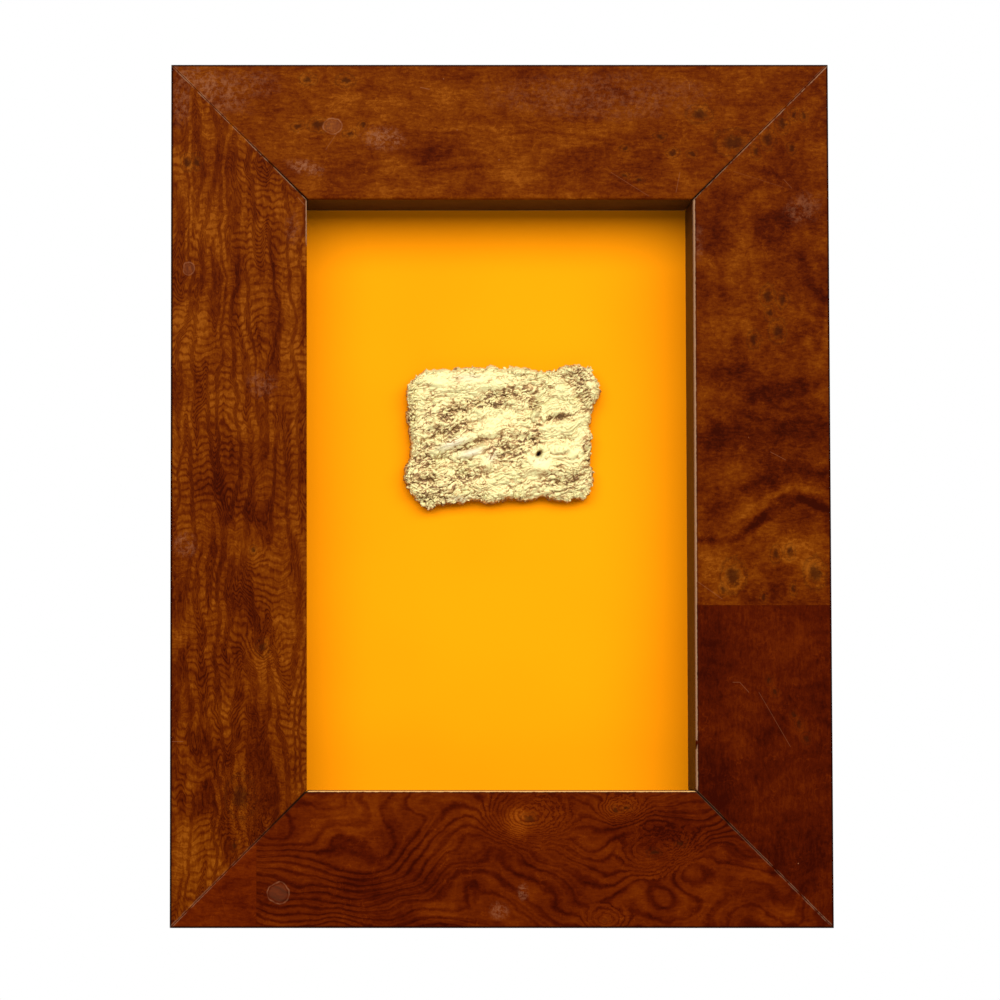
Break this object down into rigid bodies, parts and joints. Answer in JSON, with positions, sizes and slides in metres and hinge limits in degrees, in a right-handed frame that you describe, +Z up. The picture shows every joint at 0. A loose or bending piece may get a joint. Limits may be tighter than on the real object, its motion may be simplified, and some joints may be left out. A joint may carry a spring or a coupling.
{
  "type": "framed gold specimen",
  "caption": "Rough rectangular crust of native gold fixed on an orange board, deep in a small mitred burl-veneered frame that hangs on a wall.",
  "frame": {"origin": "the notch of the sawtooth hanger that takes the wall's nail, on the plane of the frame's wooden back", "axes": "+Z up as hung, +Y towards the wall, so the frame's face looks along -Y; +X to the right of someone facing it"},
  "size_m": [0.1624, 0.0269, 0.2129],
  "materials": {
    "stained_wood": "dark stain, satin lacquer",
    "burl_veneer": "red-brown burl veneer under satin lacquer, lightly scratched",
    "orange_board": "flat even orange, matt",
    "gold": "pale crinkled native gold, rough, metallic",
    "hardboard": "brown pressed fibre, matt",
    "steel": "plain zinc-grey steel strip",
    "brassed_steel": "brass-plated steel",
    "pad": "dark grey soft pad, matt"
  },
  "bodies": {
    "root": {"top_rail": "stained_wood", "bottom_rail": "stained_wood", "left_stile": "stained_wood", "right_stile": "stained_wood", "veneer_top": "burl_veneer", "veneer_left": "burl_veneer", "veneer_right_upper": "burl_veneer", "veneer_right_lower": "burl_veneer", "veneer_bottom": "burl_veneer", "veneer_bottom_end": "burl_veneer", "mount_board": "orange_board", "gold_specimen": "gold", "back_panel": "hardboard", "framer_point_1": "steel", "framer_point_2": "steel", "framer_point_3": "steel", "framer_point_4": "steel", "framer_point_5": "steel", "framer_point_6": "steel", "corner_nail_1": "steel", "corner_nail_2": "steel", "corner_nail_3": "steel", "corner_nail_4": "steel", "corner_nail_5": "steel", "corner_nail_6": "steel", "corner_nail_7": "steel", "corner_nail_8": "steel", "sawtooth_hanger": "brassed_steel", "hanger_nail_left": "brassed_steel", "hanger_nail_right": "brassed_steel", "bumper_left": "pad", "bumper_right": "pad"}
  },
  "joints": []
}
